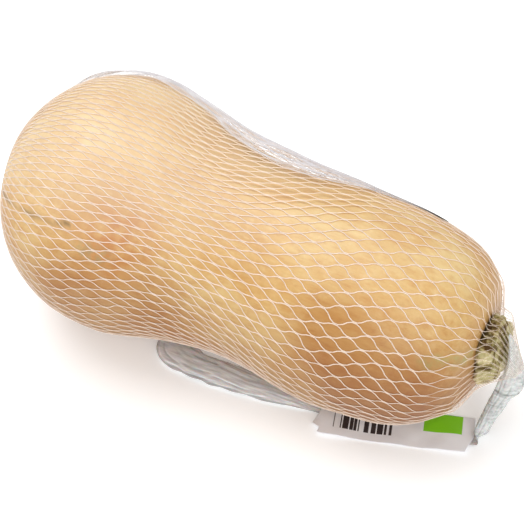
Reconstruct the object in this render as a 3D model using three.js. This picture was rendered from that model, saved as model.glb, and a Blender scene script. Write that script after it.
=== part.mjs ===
// A butternut squash lying on its side in a white carrying net.
// Millimetres, +Z up, the stem end towards +X. The origin is below the middle of the whole object.
//
// The squash is drawn first in a lying frame: x runs from the blossom end towards the stem end, y = 0 is
// the squash's own mid-plane and z = 0 is the surface that it lies on. The last lines centre the object.
import * as THREE from 'three';

const { cos, sin, exp, abs, min, max, pow, PI } = Math;

// Driving dimensions of the fruit
const FRUIT_LENGTH = 232.9;
const BULB_RADIUS = 58.6;
const BULB_END_LENGTH = 56.5; // from the blossom end to where the bulb is full
const BULB_END_POWER = 1.95; // squareness of the bulb's rounded end, 2 being an ellipse
const NECK_RADIUS = 48.6;
const NECK_END_LENGTH = 76.3;
const NECK_END_POWER = 3;
const TAPER_START = 58.3; // from here to the taper's end the bulb's radius runs into the neck's
const TAPER_END = 147;
const WAIST_DEPTH = 6.3; // how much thinner than that taper the waist is
const WAIST_AT = 111;
const WAIST_REACH = 36.2;
const END_HOLLOW_DEPTH = 2; // how far the end is sunk round the stem's foot
const END_HOLLOW_RADIUS = 16;
const SIDE_BOW = 3.3; // how far the fruit's line bows towards -Y between its ends
const LOBE_COUNT = 5;
const LOBE_DEPTH = 0.45;

// Driving dimensions of the stem
const STEM_HEIGHT = 5.4; // from the fruit's end to the middle of the cut
const STEM_RAISE = 1.6; // the stem's foot is this far above the fruit's own line
const STEM_LEAN = 4.2; // and its cut is this much higher again
const STEM_TILT = 0.29; // how far the stem's foot and cut lean back at the top, as a share of their height
const STEM_FOOT_RADIUS = 13.2;
const STEM_RIM_RADIUS = 14.6;
const STEM_TIP_RADIUS = 13.2;
const STEM_RIB_DEPTH = 0.08; // share of the stem's radius
const STEM_RIB_TURN = -2.08;
const STEM_GAP = 0.4; // the dark crack under the stem's foot

// Driving dimensions of the net
const NET_CELLS_ROUND = 18;
const NET_ROWS = 21; // half cells from the blossom end to the stem
const NET_CLEARANCE = 1.05; // from the skin to a strand, so that straight strands clear the round skin
const STRAND_THICKNESS = 0.6;
const KNOT_HALF_WIDTH = 0.55;
const KNOT_HALF_LENGTH = 1.15;
const NET_START_RADIUS = 8; // the ring that the net draws in to at the blossom end
const GATHER_DROP = 22; // how far down the bulb's end that ring is drawn
const SHOULDER_RADIUS = 38; // where the net leaves the fruit towards the stem
// From the shoulder the net draws in over the stem, one ring for each half cell: how far each ring's middle is
// past the fruit's end and above its line, its half height and width, and how far it leans back at the top.
const TENT_RINGS = [
  { past: -4.6, raise: 1.5, halfHeight: 29.5, halfWidth: 29.5, tilt: 0.05 },
  { past: -0.5, raise: 2.5, halfHeight: 18.6, halfWidth: 18.6, tilt: 0.1 },
  { past: 4.4, raise: 5.4, halfHeight: 15.6, halfWidth: 15.4, tilt: 0.12 },
  { past: 12.6, raise: -6, halfHeight: 5, halfWidth: 3.6, tilt: -0.6 },
];
const NET_PRESS = 0.4; // how far the weight presses the net's underside flat
const WAIST_BRIDGE = 0.72; // share of the waist's hollow that the net spans at the back
const BRIDGE_MIDDLE_ANGLE = 1.45; // from the top towards the back, where it spans most
const BRIDGE_HALF_ANGLE = 1.75; // from there to where the net lies in the hollow again
const BRIDGE_FADE_ANGLE = 1;

// Driving dimensions of the label
const LABEL_THICKNESS = 0.5;
const LABEL_WIDTH = 19;
const LABEL_START = new THREE.Vector2(172.1, -38.3); // its front left corner
const LABEL_END = new THREE.Vector2(234.3, -19.1); // its front right corner
const LABEL_LIFT = 1.4; // at its ends, where it lies on the net's tails
const LABEL_LIFT_LENGTH = 26;

const clamp01 = (value) => min(1, max(0, value));
const smooth = (value) => clamp01(value) ** 2 * (3 - 2 * clamp01(value));
const mix = (a, b, share) => a + (b - a) * share;

const roundedEnd = (share, power) => pow(max(0, 1 - pow(clamp01(share), power)), 1 / power);

// Radius of the fruit at a distance s from the blossom end: a taper from the bulb to the neck with a waist
// taken out of it, closed by a rounded end on each side.
function fruitRadius(s) {
  const taper = mix(BULB_RADIUS, NECK_RADIUS, smooth((s - TAPER_START) / (TAPER_END - TAPER_START)));
  const body = taper - WAIST_DEPTH * exp(-(((s - WAIST_AT) / WAIST_REACH) ** 2));
  const blossomEnd = (BULB_END_LENGTH - s) / BULB_END_LENGTH;
  const stemEnd = (s - (FRUIT_LENGTH - NECK_END_LENGTH)) / NECK_END_LENGTH;
  return body * roundedEnd(blossomEnd, BULB_END_POWER) * roundedEnd(stemEnd, NECK_END_POWER);
}

// How far the rounded ends lie inside the fruit's full length at a given distance from its line.
const blossomEndDrop = (radius) => BULB_END_LENGTH * (1 - roundedEnd(radius / BULB_RADIUS, BULB_END_POWER));
const neckEndDrop = (radius) => NECK_END_LENGTH * (1 - roundedEnd(radius / NECK_RADIUS, NECK_END_POWER));

// How far the neck's end is sunk round the stem's foot, which leans back at the top.
function endHollow(above, behind) {
  const fromStem = Math.hypot(above - STEM_RAISE, behind);
  const depth = END_HOLLOW_DEPTH + STEM_TILT * (above - STEM_RAISE);
  return depth * exp(-((fromStem / END_HOLLOW_RADIUS) ** 2));
}

// The fruit lies on its bulb and its neck, so its line slopes down to the stem end. The slope is found by
// turning the fruit until the lowest points of both halves are level.
function restingPose() {
  const stations = Array.from({ length: 400 }, (_, i) => (FRUIT_LENGTH * i) / 399);
  const lowest = (slope, part) => {
    const depths = part.map((s) => s * sin(slope) + fruitRadius(s) * cos(slope));
    const deepest = max(...depths);
    return { deepest, s: part[depths.indexOf(deepest)] };
  };
  const middle = 0.45 * FRUIT_LENGTH;
  let slope = 0.08;
  for (let turn = 0; turn < 40; turn++) {
    const bulb = lowest(slope, stations.filter((s) => s < middle));
    const neck = lowest(slope, stations.filter((s) => s >= middle));
    slope += (bulb.deepest - neck.deepest) / (neck.s - bulb.s);
  }
  return { slope, lineHeight: lowest(slope, stations).deepest };
}

const { slope: SLOPE, lineHeight: LINE_HEIGHT } = restingPose();
const LIFT = NET_CLEARANCE + STRAND_THICKNESS - NET_PRESS; // the fruit's lowest point above the surface

// A point given by its distance s along the fruit's line, and by how far it is above and behind that line.
function inLyingFrame(s, above, behind) {
  const along = s / FRUIT_LENGTH - 0.5;
  const bow = SIDE_BOW * (4 * along * along - 0.4);
  return new THREE.Vector3(
    s * cos(SLOPE) + above * sin(SLOPE),
    behind + bow,
    LINE_HEIGHT + LIFT - s * sin(SLOPE) + above * cos(SLOPE),
  );
}

// Radius of the skin, which has faint lobes. Angle 0 is the top and a quarter turn is the back, +Y.
function skinRadius(s, angle) {
  const radius = fruitRadius(s);
  return radius + LOBE_DEPTH * cos(LOBE_COUNT * angle + 0.7) * smooth(radius / BULB_RADIUS);
}

// Moves each vertex of a lathe, whose axis is Y, to the point that place() gives for its height, its
// distance from the axis and its angle. The angle runs the way that keeps the faces outwards.
function reshapeLathe(geometry, place) {
  const position = geometry.getAttribute('position');
  for (let i = 0; i < position.count; i++) {
    const radius = Math.hypot(position.getX(i), position.getZ(i));
    const angle = Math.atan2(-position.getX(i), position.getZ(i));
    const moved = place(position.getY(i), radius, angle);
    position.setXYZ(i, moved.x, moved.y, moved.z);
  }
  return geometry;
}

function makeFruit() {
  const steps = 34;
  const sides = 36;
  const stations = Array.from({ length: steps }, (_, i) => FRUIT_LENGTH * (0.5 - 0.5 * cos((PI * i) / steps)));
  // The flat stem end has two more rings close to its middle, for the hollow.
  for (const radius of [9, 4.5]) stations.push(FRUIT_LENGTH - neckEndDrop(radius));
  const profile = stations.map((s) => new THREE.Vector2(s === 0 ? 0 : fruitRadius(s), s));
  profile.push(new THREE.Vector2(0, FRUIT_LENGTH));
  return reshapeLathe(new THREE.LatheGeometry(profile, sides), (s, radius, angle) => {
    const skin = radius === 0 ? 0 : skinRadius(s, angle);
    const above = skin * cos(angle);
    const behind = skin * sin(angle);
    const sunk = s > FRUIT_LENGTH / 2 ? endHollow(above, behind) : 0;
    return inLyingFrame(s - sunk, above, behind);
  });
}

// The stem: a foot on the fruit's end, a five-lobed rim that overhangs it, and a ribbed stub cut off flat.
// Heights are shares of the way from the foot to the cut.
const STEM_OUTLINE = [
  [0, 0],
  [STEM_FOOT_RADIUS * 0.55, 0],
  [STEM_FOOT_RADIUS, 0],
  [STEM_RIM_RADIUS, 0.2],
  [STEM_RIM_RADIUS * 0.98, 0.36],
  [STEM_TIP_RADIUS * 1.02, 0.6],
  [STEM_TIP_RADIUS, 0.84],
  [STEM_TIP_RADIUS * 0.95, 1],
  [STEM_TIP_RADIUS * 0.5, 0.95],
  [0, 0.93],
];

function makeStem() {
  const profile = STEM_OUTLINE.map(([radius, height]) => new THREE.Vector2(radius, height));
  return reshapeLathe(new THREE.LatheGeometry(profile, 30), (height, radius, angle) => {
    const out = radius * (1 + STEM_RIB_DEPTH * cos(LOBE_COUNT * angle + STEM_RIB_TURN));
    const above = STEM_RAISE + STEM_LEAN * height + out * cos(angle);
    const behind = out * sin(angle);
    const foot = FRUIT_LENGTH - neckEndDrop(Math.hypot(above, behind)) - endHollow(above, behind) + STEM_GAP;
    const cut = FRUIT_LENGTH + STEM_HEIGHT - STEM_TILT * (above - STEM_RAISE - STEM_LEAN);
    return inLyingFrame(mix(foot, cut, height), above, behind);
  });
}

// The net's stations along the fruit: even steps of the way over the skin, from its first ring to the
// shoulder near the stem.
function netStations(count) {
  const fine = 600;
  const stations = [];
  const reach = [];
  let travelled = 0;
  for (let i = 0; i <= fine; i++) {
    const s = FRUIT_LENGTH * (0.5 - 0.5 * cos((PI * i) / fine));
    const last = stations.at(-1);
    if (last !== undefined) travelled += Math.hypot(s - last, fruitRadius(s) - fruitRadius(last));
    stations.push(s);
    reach.push(travelled);
  }
  const firstAt = stations.findIndex((s) => fruitRadius(s) >= NET_START_RADIUS);
  const lastAt = stations.findIndex((s) => s > FRUIT_LENGTH / 2 && fruitRadius(s) <= SHOULDER_RADIUS);
  return Array.from({ length: count + 1 }, (_, i) => {
    const wanted = mix(reach[firstAt], reach[lastAt], i / count);
    const after = max(1, reach.findIndex((way) => way >= wanted));
    const share = (wanted - reach[after - 1]) / (reach[after] - reach[after - 1]);
    return mix(stations[after - 1], stations[after], share);
  });
}

const SKIN_ROWS = NET_ROWS - TENT_RINGS.length;
const NET_STATIONS = netStations(SKIN_ROWS);
const BRIDGE_FROM = BULB_END_LENGTH * 0.93;
const BRIDGE_TO = FRUIT_LENGTH - NECK_END_LENGTH * 0.72;

// How far the net stands off the skin where it spans the waist, on the upper back.
function bridgeHeight(s, angle) {
  if (s <= BRIDGE_FROM || s >= BRIDGE_TO) return 0;
  const taut = mix(fruitRadius(BRIDGE_FROM), fruitRadius(BRIDGE_TO), (s - BRIDGE_FROM) / (BRIDGE_TO - BRIDGE_FROM));
  const turned = angle - BRIDGE_MIDDLE_ANGLE;
  const turnedFromBack = abs(Math.atan2(sin(turned), cos(turned)));
  const reached = smooth((BRIDGE_HALF_ANGLE - turnedFromBack) / BRIDGE_FADE_ANGLE);
  return WAIST_BRIDGE * reached * max(0, taut - fruitRadius(s));
}

// A point of the net on the skin. Near the blossom end the net is drawn down to where it is gathered.
function onSkin(s, above, behind) {
  const radius = Math.hypot(above, behind);
  if (s > BULB_END_LENGTH || radius >= BULB_RADIUS) return inLyingFrame(s, above, behind);
  const lowered = above - GATHER_DROP * (1 - radius / BULB_RADIUS) ** 1.5;
  const slid = blossomEndDrop(Math.hypot(lowered, behind)) - blossomEndDrop(radius);
  return inLyingFrame(s + slid, lowered, behind);
}

function tentPoint({ past, raise, halfHeight, halfWidth, tilt }, angle) {
  const above = halfHeight * cos(angle);
  return inLyingFrame(FRUIT_LENGTH + past - tilt * above, raise + above, halfWidth * sin(angle));
}

// The net's own surface, row by row. Rows up to the shoulder lie on the skin or bridge the waist, and the
// last ones follow the rings over the stem.
function netSurface(row, angle) {
  const at = min(row, SKIN_ROWS);
  const low = min(SKIN_ROWS - 1, Math.floor(at));
  const s = mix(NET_STATIONS[low], NET_STATIONS[low + 1], at - low);
  const radius = skinRadius(s, angle) + bridgeHeight(s, angle);
  const lying = onSkin(s, radius * cos(angle), radius * sin(angle));
  if (row <= SKIN_ROWS) return lying;
  const ring = min(TENT_RINGS.length - 1, Math.floor(row - SKIN_ROWS));
  const before = ring ? tentPoint(TENT_RINGS[ring - 1], angle) : lying;
  return before.lerp(tentPoint(TENT_RINGS[ring], angle), row - SKIN_ROWS - ring);
}

// A knot of the net: its centre, the directions along and round the net there, and the way out.
function knotFrame(row, angle) {
  const step = 0.02;
  const centre = netSurface(row, angle);
  const back = netSurface(max(0, row - step), angle);
  const along = netSurface(min(NET_ROWS, row + step), angle).sub(back).normalize();
  const round = netSurface(row, angle - step).sub(netSurface(row, angle + step)).normalize();
  const out = new THREE.Vector3().crossVectors(round, along).normalize();
  return { centre, along, round, out };
}

// A diamond net of flat strands as one closed body. Each knot has four corners, one towards each of the
// four openings round it. Two corners of a knot and two of its neighbour bound a strand.
function makeNetSleeve() {
  const positions = [];
  const triangles = [];
  const CORNERS = [
    [0, KNOT_HALF_LENGTH], // towards the stem
    [KNOT_HALF_WIDTH, 0], // round, to the right
    [0, -KNOT_HALF_LENGTH], // towards the blossom end
    [-KNOT_HALF_WIDTH, 0], // round, to the left
  ];
  const [AHEAD, RIGHT, BEHIND, LEFT] = [0, 1, 2, 3];
  const INSIDE = 0;
  const OUTSIDE = CORNERS.length;
  const perKnot = 2 * CORNERS.length;

  for (let row = 0; row <= NET_ROWS; row++) {
    for (let i = 0; i < NET_CELLS_ROUND; i++) {
      const angle = (-(i + (row % 2) / 2) * 2 * PI) / NET_CELLS_ROUND;
      const { centre, along, round, out } = knotFrame(row, angle);
      for (const lift of [NET_CLEARANCE, NET_CLEARANCE + STRAND_THICKNESS]) {
        for (const [across, ahead] of CORNERS) {
          const atEnd = (row === 0 && ahead < 0) || (row === NET_ROWS && ahead > 0);
          const corner = centre.clone().addScaledVector(out, lift).addScaledVector(round, across);
          corner.addScaledVector(along, atEnd ? ahead * 0.5 : ahead);
          positions.push(corner.x, corner.y, max(corner.z, 0));
        }
      }
    }
  }

  const vertex = (row, i, side, corner) =>
    (row * NET_CELLS_ROUND + ((i + NET_CELLS_ROUND) % NET_CELLS_ROUND)) * perKnot + side + corner;
  const quad = (a, b, c, d) => triangles.push(a, b, c, a, c, d);
  // A flat piece from four corners, given clockwise as seen from outside, on both faces.
  const plate = (corners) => {
    const outer = corners.map(([row, i, corner]) => vertex(row, i, OUTSIDE, corner));
    const inner = corners.map(([row, i, corner]) => vertex(row, i, INSIDE, corner));
    quad(outer[0], outer[3], outer[2], outer[1]);
    quad(inner[0], inner[1], inner[2], inner[3]);
  };
  // The upright edge of a strand between two corners.
  const wall = ([rowA, iA, cornerA], [rowB, iB, cornerB]) =>
    quad(
      vertex(rowA, iA, OUTSIDE, cornerA),
      vertex(rowB, iB, OUTSIDE, cornerB),
      vertex(rowB, iB, INSIDE, cornerB),
      vertex(rowA, iA, INSIDE, cornerA),
    );

  for (let row = 0; row <= NET_ROWS; row++) {
    for (let i = 0; i < NET_CELLS_ROUND; i++) {
      plate([[row, i, AHEAD], [row, i, RIGHT], [row, i, BEHIND], [row, i, LEFT]]);
      if (row < NET_ROWS) {
        const right = row % 2 ? i + 1 : i;
        const left = right - 1;
        plate([[row, i, AHEAD], [row + 1, right, LEFT], [row + 1, right, BEHIND], [row, i, RIGHT]]);
        wall([row, i, AHEAD], [row + 1, right, LEFT]);
        wall([row + 1, right, BEHIND], [row, i, RIGHT]);
        plate([[row, i, LEFT], [row + 1, left, BEHIND], [row + 1, left, RIGHT], [row, i, AHEAD]]);
        wall([row, i, LEFT], [row + 1, left, BEHIND]);
        wall([row + 1, left, RIGHT], [row, i, AHEAD]);
      }
      // Each end of the net is closed by a ring, from knot to knot.
      if (row === 0 || row === NET_ROWS) {
        const ring = [[row, i, RIGHT], [row, i, row ? AHEAD : BEHIND]];
        const next = [[row, i + 1, LEFT], [row, i + 1, row ? AHEAD : BEHIND]];
        if (row) {
          plate([ring[1], next[1], next[0], ring[0]]);
          wall(ring[1], next[1]);
          wall(next[0], ring[0]);
        } else {
          plate([ring[0], next[0], next[1], ring[1]]);
          wall(ring[0], next[0]);
          wall(next[1], ring[1]);
        }
      }
    }
  }

  const geometry = new THREE.BufferGeometry();
  geometry.setAttribute('position', new THREE.Float32BufferAttribute(positions, 3));
  return geometry.setIndex(triangles);
}

// A bunch of gathered net swept along a route. Each stop gives the bunch's middle, the direction of its
// width, half its width and half its thickness. The section is pleated all round.
function makeBunch(stops, { steps, pleats, pleatDepth }) {
  const middles = new THREE.CatmullRomCurve3(stops.map(({ at }) => new THREE.Vector3(...at)), false, 'centripetal');
  const stopAt = (share, read) => {
    const place = share * (stops.length - 1);
    const low = min(stops.length - 2, Math.floor(place));
    return mix(read(stops[low]), read(stops[low + 1]), smooth(place - low));
  };
  const sides = 2 * pleats;
  const positions = [];
  for (let step = 0; step <= steps; step++) {
    const share = step / steps;
    const middle = middles.getPoint(share);
    const forward = middles.getTangent(share);
    const across = new THREE.Vector3(...[0, 1, 2].map((k) => stopAt(share, ({ width }) => width[k])));
    across.addScaledVector(forward, -across.dot(forward)).normalize();
    const up = new THREE.Vector3().crossVectors(forward, across);
    const [halfWidth, halfThickness] = [0, 1].map((k) => stopAt(share, ({ half }) => half[k]));
    for (let side = 0; side < sides; side++) {
      const angle = (side * 2 * PI) / sides;
      const pleat = side % 2 ? 1 - pleatDepth : 1;
      const point = middle.clone();
      point.addScaledVector(across, pleat * halfWidth * cos(angle));
      point.addScaledVector(up, pleat * halfThickness * sin(angle));
      positions.push(point.x, point.y, max(0, point.z));
    }
  }
  const triangles = [];
  const vertex = (step, side) => step * sides + (side % sides);
  for (let step = 0; step < steps; step++) {
    for (let side = 0; side < sides; side++) {
      const [a, b] = [vertex(step, side), vertex(step, side + 1)];
      const [c, d] = [vertex(step + 1, side + 1), vertex(step + 1, side)];
      triangles.push(a, b, c, a, c, d);
    }
  }
  for (let side = 1; side < sides - 1; side++) {
    triangles.push(vertex(0, 0), vertex(0, side + 1), vertex(0, side));
    triangles.push(vertex(steps, 0), vertex(steps, side), vertex(steps, side + 1));
  }
  const geometry = new THREE.BufferGeometry();
  geometry.setAttribute('position', new THREE.Float32BufferAttribute(positions, 3));
  return geometry.setIndex(triangles);
}

// The net's tail at the stem end: it folds down from the stem's lower edge, kinks, hangs to the surface and
// ends as a flat tongue under the label.
const STEM_TAIL_STOPS = [
  { at: [244.8, 2.0, 36.2], width: [0.51, 0, 0.86], half: [5.2, 3.0] },
  { at: [246.0, 2.1, 34.2], width: [0.8, 0, 0.6], half: [5.2, 3.0] },
  { at: [246.4, 2.2, 31.0], width: [0.98, 0.1, 0.1], half: [5.4, 2.6] },
  { at: [244.3, 2.2, 26.6], width: [0.9, 0.4, 0], half: [4.9, 2.4] },
  { at: [242.0, 1.6, 21.4], width: [0.85, 0.5, 0], half: [4.1, 2.6] },
  { at: [240.0, 0.0, 15.6], width: [0.8, 0.6, 0], half: [3.9, 2.7] },
  { at: [238.3, -2.8, 9.8], width: [0.7, 0.7, 0], half: [3.9, 2.7] },
  { at: [237.2, -5.2, 4.8], width: [0.6, 0.8, 0], half: [4.3, 2.2] },
  { at: [236.6, -7.0, 1.3], width: [0.4, 0.92, 0], half: [5.0, 0.9] },
  { at: [234.6, -8.1, 0.45], width: [0.3, 0.95, 0], half: [5.4, 0.4] },
  { at: [226.5, -11.4, 0.4], width: [0.3, 0.95, 0], half: [5.4, 0.35] },
];

// The net's tail at the blossom end: it hangs down the lower end of the bulb, lies behind it, crosses under the
// waist and runs along the front as a flattened bunch, to a tongue under the label's other end.
const BLOSSOM_TAIL_STOPS = [
  { at: [-1.4, 2.0, 44.8], width: [0, 1, 0], half: [5.4, 5.4] },
  { at: [-4.4, 2.6, 42.8], width: [0, 1, 0], half: [4.8, 4.2] },
  { at: [-4.8, 4.4, 37.0], width: [0, 1, 0], half: [4.6, 3.2] },
  { at: [-1.8, 7.6, 29.0], width: [0.1, 1, 0], half: [4.8, 3.0] },
  { at: [5.2, 13.2, 19.6], width: [0.3, 0.95, 0], half: [5.2, 2.9] },
  { at: [16.0, 21.5, 9.5], width: [-0.4, 0.9, 0], half: [6.0, 2.8] },
  { at: [32.0, 28.0, 2.6], width: [-0.3, 0.95, 0], half: [6.6, 2.6] },
  { at: [50.0, 31.5, 1.8], width: [0, 1, 0], half: [7.0, 2.1] },
  { at: [70.0, 27.0, 1.35], width: [0.4, 0.9, 0], half: [7.2, 1.6] },
  { at: [85.0, 15.0, 1.0], width: [0.7, 0.7, 0], half: [7.4, 1.2] },
  { at: [93.0, 2.0, 0.95], width: [0.95, 0.3, 0], half: [7.6, 1.1] },
  { at: [92.6, -11.0, 1.05], width: [1, 0, 0], half: [7.8, 1.3] },
  { at: [93.6, -21.5, 1.4], width: [0.85, 0.5, 0], half: [8.6, 1.7] },
  { at: [103.0, -27.2, 1.8], width: [0.25, 0.97, 0], half: [8.0, 2.0] },
  { at: [117.0, -27.6, 1.9], width: [0, 1, 0], half: [7.8, 2.2] },
  { at: [132.0, -26.9, 1.8], width: [-0.05, 1, 0], half: [7.2, 2.1] },
  { at: [147.0, -26.2, 1.6], width: [-0.12, 1, 0], half: [5.6, 1.9] },
  { at: [157.5, -25.0, 1.2], width: [-0.15, 1, 0], half: [4.4, 1.2] },
  { at: [163.5, -23.6, 0.4], width: [-0.1, 1, 0], half: [4.2, 0.35] },
  { at: [169.0, -22.2, 0.4], width: [-0.1, 1, 0], half: [4.4, 0.35] },
  { at: [175.0, -21.6, 0.4], width: [-0.1, 1, 0], half: [4.0, 0.35] },
];

// The plain label band, lying flat and rising a little over the tails at both ends. Its left end is cut in
// a step, as the two layers of the folded band end one behind the other.
function makeLabel() {
  const along = LABEL_END.clone().sub(LABEL_START);
  const length = along.length();
  along.normalize();
  const across = new THREE.Vector2(-along.y, along.x);
  // How far each end reaches out beyond the front corners, from front to back
  const leftCut = [0, 2.8, 1.2, 0, -0.4];
  const rightCut = [0, 1.8, 3.5, 3.5, 3.5];
  const geometry = new THREE.BoxGeometry(length, LABEL_WIDTH, LABEL_THICKNESS, 20, leftCut.length - 1, 1);
  const position = geometry.getAttribute('position');
  for (let i = 0; i < position.count; i++) {
    const share = position.getX(i) / length + 0.5;
    const back = position.getY(i) + LABEL_WIDTH / 2;
    const row = Math.round((back / LABEL_WIDTH) * (leftCut.length - 1));
    const way = share * length - leftCut[row] * (1 - share) ** 4 + rightCut[row] * share ** 4;
    const overTail = max(
      smooth((LABEL_LIFT_LENGTH - share * length) / LABEL_LIFT_LENGTH),
      smooth((LABEL_LIFT_LENGTH - (1 - share) * length) / LABEL_LIFT_LENGTH),
    );
    position.setXYZ(
      i,
      LABEL_START.x + along.x * way + across.x * back,
      LABEL_START.y + along.y * way + across.y * back,
      position.getZ(i) + LABEL_THICKNESS / 2 + LABEL_LIFT * overTail,
    );
  }
  return geometry;
}

const finishes = {
  fruit: { color: 0xdfb273, roughness: 0.5, metalness: 0 },
  stem: { color: 0x9a9268, roughness: 0.85, metalness: 0 },
  net: { color: 0xf2efe9, roughness: 0.45, metalness: 0 },
  label: { color: 0xf3f2f0, roughness: 0.4, metalness: 0 },
};

const squash = new THREE.Group();

function add(name, geometry, finish) {
  const mesh = new THREE.Mesh(geometry, new THREE.MeshStandardMaterial(finish));
  mesh.name = name;
  squash.add(mesh);
}

add('fruit', makeFruit(), finishes.fruit);
add('stem', makeStem(), finishes.stem);
add('net_sleeve', makeNetSleeve(), finishes.net);
add('net_tail_stem_end', makeBunch(STEM_TAIL_STOPS, { steps: 30, pleats: 6, pleatDepth: 0.12 }), finishes.net);
add('net_tail_blossom_end', makeBunch(BLOSSOM_TAIL_STOPS, { steps: 54, pleats: 6, pleatDepth: 0.12 }), finishes.net);
add('label_band', makeLabel(), finishes.label);

// The object's own frame: its middle over the origin and its lowest point on the surface.
const bounds = new THREE.Box3().setFromObject(squash);
const middle = bounds.getCenter(new THREE.Vector3());
squash.position.set(-middle.x, -middle.y, -bounds.min.z);

export default squash;
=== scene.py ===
import math

import bpy
import numpy as np
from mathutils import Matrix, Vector


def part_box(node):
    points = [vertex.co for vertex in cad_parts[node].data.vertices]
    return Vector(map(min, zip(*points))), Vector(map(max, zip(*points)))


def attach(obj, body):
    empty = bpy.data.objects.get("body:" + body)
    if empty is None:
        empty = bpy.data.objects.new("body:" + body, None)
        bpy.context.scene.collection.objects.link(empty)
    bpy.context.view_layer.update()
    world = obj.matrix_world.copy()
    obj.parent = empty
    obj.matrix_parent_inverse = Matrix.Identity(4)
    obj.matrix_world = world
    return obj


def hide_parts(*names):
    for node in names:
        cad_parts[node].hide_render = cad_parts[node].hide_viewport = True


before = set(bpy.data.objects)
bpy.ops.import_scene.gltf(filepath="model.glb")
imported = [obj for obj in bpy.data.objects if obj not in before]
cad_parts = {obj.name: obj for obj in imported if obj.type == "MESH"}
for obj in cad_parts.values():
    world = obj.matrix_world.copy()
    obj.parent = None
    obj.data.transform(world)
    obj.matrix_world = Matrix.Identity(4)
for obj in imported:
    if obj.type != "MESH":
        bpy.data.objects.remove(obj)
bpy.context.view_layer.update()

# A butternut squash in its carrying net. The shapes are worked out in millimetres in a lying frame: x runs
# from the blossom end to the stem end, y = 0 is the squash's own mid-plane and z = 0 is the surface that it
# lies on. to_scene() turns such points into metres in the object's own frame.

# Driving dimensions of the fruit
FRUIT_LENGTH = 232.9
BULB_RADIUS = 58.6
BULB_END_LENGTH = 56.5
BULB_END_POWER = 1.95
NECK_RADIUS = 48.6
NECK_END_LENGTH = 76.3
NECK_END_POWER = 3.0
TAPER_START = 58.3
TAPER_END = 147.0
WAIST_DEPTH = 6.3
WAIST_AT = 111.0
WAIST_REACH = 36.2
END_HOLLOW_DEPTH = 2.0
END_HOLLOW_RADIUS = 16.0
SIDE_BOW = 3.3
BOW_MIDDLE = 0.4
LOBE_COUNT = 5
LOBE_DEPTH = 0.45
LOBE_TURN = 0.7
DENT_DEPTH = 0.3
DENT_LENGTH = 19.0
DENTS_ROUND = 2.2
FRUIT_LIFT = 1.25
BULB_SHARE = 0.45
FIRST_SLOPE = 0.08

# Driving dimensions of the stem
STEM_HEIGHT = 5.4
STEM_RAISE = 1.6
STEM_LEAN = 4.2
STEM_TILT = 0.29
STEM_FOOT_RADIUS = 13.2
STEM_RIM_RADIUS = 14.6
STEM_TIP_RADIUS = 13.2
STEM_RIB_DEPTH = 0.08
STEM_RIB_TURN = -2.08
STEM_RIDGE_DEPTH = 0.14
STEM_RIDGE_LEVEL = 0.8
STEM_ROUGH_DEPTH = 0.35
STEM_CRUMBLE_DEPTH = 0.25
STEM_CRUMBLE_SIZE = 1.3
STEM_FOOT_GAP = 0.1

# Driving dimensions of the net
NET_CELLS_ROUND = 66
NET_HALF_CELL = 7.2
FILAMENT_HALF_WIDTH = 0.25
FILAMENT_HALF_HEIGHT = 0.15
FILAMENT_GAP = 0.08
FILAMENT_LEAN = 0.95
JOINT_HALF_LENGTH = 1.0
JOINT_SLACK = np.array([0.035, 0.05])
OVER_STEM_THINNING = 0.35
NET_START_RADIUS = 5.0
GATHER_DROP = 22.0
GATHER_POWER = 1.5
SHOULDER_RADIUS = 38.0
WAIST_BRIDGE = 0.72
BRIDGE_MIDDLE_ANGLE = 1.45
BRIDGE_HALF_ANGLE = 1.75
BRIDGE_FADE_ANGLE = 1.0

# Where the net's cells are drawn wide open, as an angle round the squash, and by how much
BULB_OPEN_ANGLE = 2.83
BULB_OPENING = 0.42
NECK_OPEN_ANGLE = -1.1
NECK_OPENING = 0.45
NECK_OPENING_FROM = 80.0
NECK_OPENING_OVER = 110.0
STEM_OPEN_ANGLE = -0.8
STEM_OPENING = 0.93
STEM_OPENING_ROWS_BEFORE = 4
STEM_OPENING_OVER_ROWS = 6

# Driving dimensions of the slack folds of net at the upper back
FOLD_COUNT = 100
FOLD_FROM = 4.0
FOLD_TO = 196.0
FOLD_SIDE_ANGLE = 0.8
FOLD_HIGH_ANGLE = 1.8
FOLD_GAP = 0.5
FOLD_SLACK = 1.9
FOLD_SWAY = 0.02
FOLD_HALF_WIDTH = 0.22
FOLD_HALF_HEIGHT = 0.14

# Driving dimensions of the label, and of its print: from and to, along it and across it
LABEL_START = np.array([172.1, -38.3])
LABEL_END = np.array([234.3, -19.1])
LABEL_WIDTH = 19.6
LABEL_THICKNESS = 0.3
LABEL_REST = 0.05
LABEL_SLACK = 0.15
LABEL_CLIMB = 1.25
LABEL_CLIMB_REACH = 26
LABEL_CURL = 0.9
BARS_ALONG = (6.5, 32.5)
BARS_ACROSS = (4.5, 30.0)
BLOCK_ALONG = (46.2, 63.2)
BLOCK_ACROSS = (9.4, 30.0)
PRINT_EDGE = 0.12
THIN_BAR, THIN_BAR_SHARE = 0.53, 0.42
THICK_BAR, THICK_BAR_SHARE = 1.3, 0.2

# How finely the pieces are meshed
FRUIT_RINGS, FRUIT_SIDES = 190, 230
STEM_RINGS, STEM_SIDES = 110, 180
FILAMENT_STEPS = 3
FOLD_POINTS = 110
STEM_TAIL_RINGS = 220
BLOSSOM_TAIL_RINGS = 420
BUNCH_SIDES = 108
LABEL_STEPS_ALONG, LABEL_STEPS_ACROSS = 140, 44

# The camera's distance, place and lens, from fitting the squash's outline
CAMERA_AIM = (125.72, 0.0, 51.56 + FRUIT_LIFT)
CAMERA_DISTANCE = 658.0
CAMERA_AZIMUTH = 26.83
CAMERA_ELEVATION = 45.0
CAMERA_FIELD = 20.0
SENSOR_WIDTH = 36.0
NEAREST_VISIBLE = 0.01

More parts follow.
